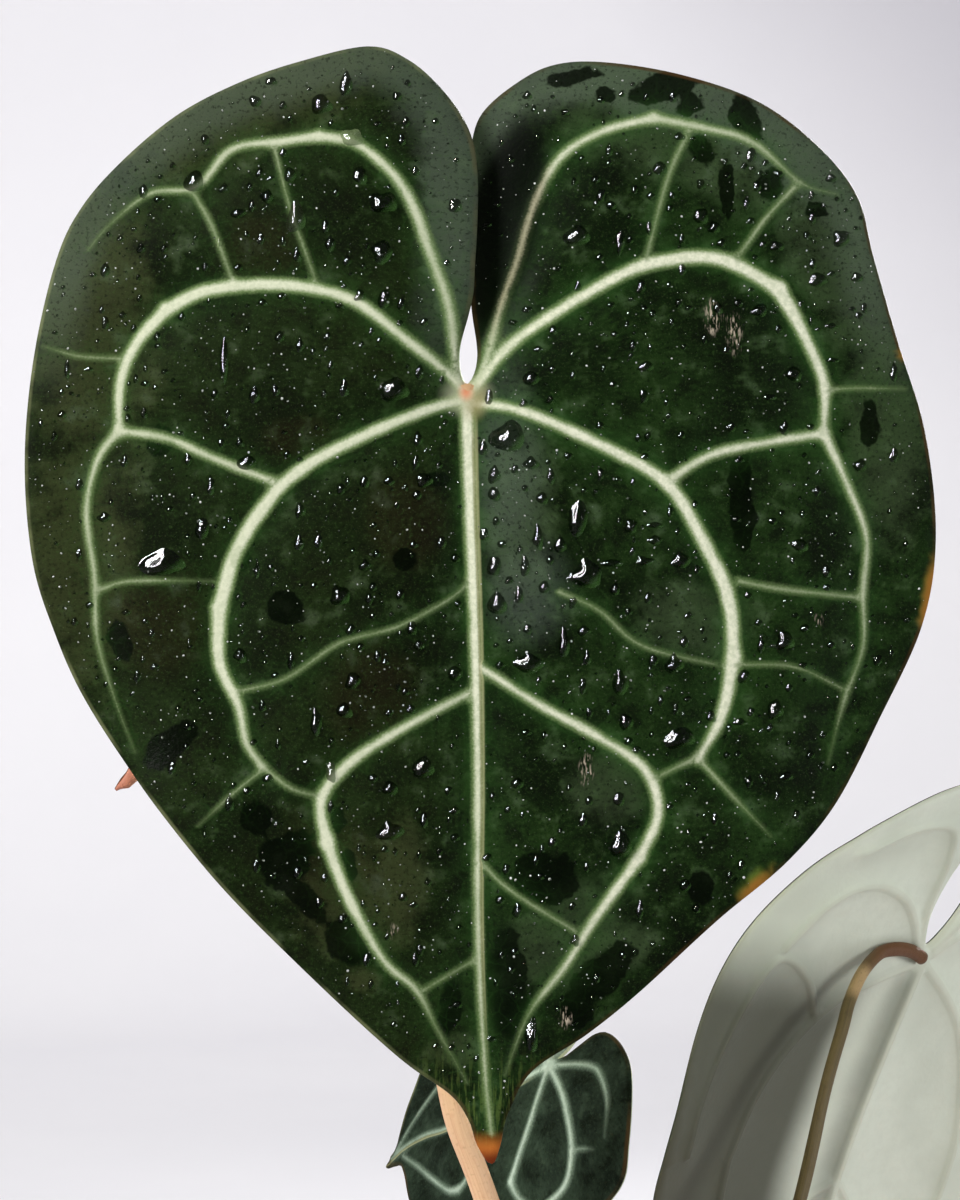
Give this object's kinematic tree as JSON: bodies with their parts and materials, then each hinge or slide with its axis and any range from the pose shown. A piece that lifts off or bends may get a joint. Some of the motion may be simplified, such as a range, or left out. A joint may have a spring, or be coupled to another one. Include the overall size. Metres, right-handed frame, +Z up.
{
  "type": "potted anthurium clarinervium",
  "caption": "House plant with heart-shaped, pale-veined leaves on round petioles, standing in a plain tapered clay pot filled with bark mix.",
  "frame": {"origin": "middle of the pot's flat base, on the surface that it stands on", "axes": "+Z up from the base to the tallest leaf, -Y the way the large blade's upper side faces, +X to its right"},
  "size_m": [0.2244, 0.1717, 0.4277],
  "materials": {
    "clay": "matte",
    "bark_mix": "matte",
    "stem_skin": "satin",
    "tan_petiole": "satin",
    "green_petiole": "satin",
    "brown_petiole": "satin",
    "red_petiole": "satin",
    "velvet_leaf": "satin",
    "pale_backed_leaf": "satin",
    "bronze_leaf": "satin",
    "papery_sheath": "matte"
  },
  "bodies": {
    "root": {"pot": "clay", "potting_mix": "bark_mix", "stem": "stem_skin", "petiole_large": "tan_petiole", "blade_large": "velvet_leaf", "petiole_low": "green_petiole", "blade_low": "velvet_leaf", "petiole_right": "brown_petiole", "blade_right": "pale_backed_leaf", "petiole_young": "red_petiole", "blade_young": "bronze_leaf", "cataphyll_1": "papery_sheath", "cataphyll_2": "papery_sheath", "cataphyll_3": "papery_sheath"}
  },
  "joints": []
}
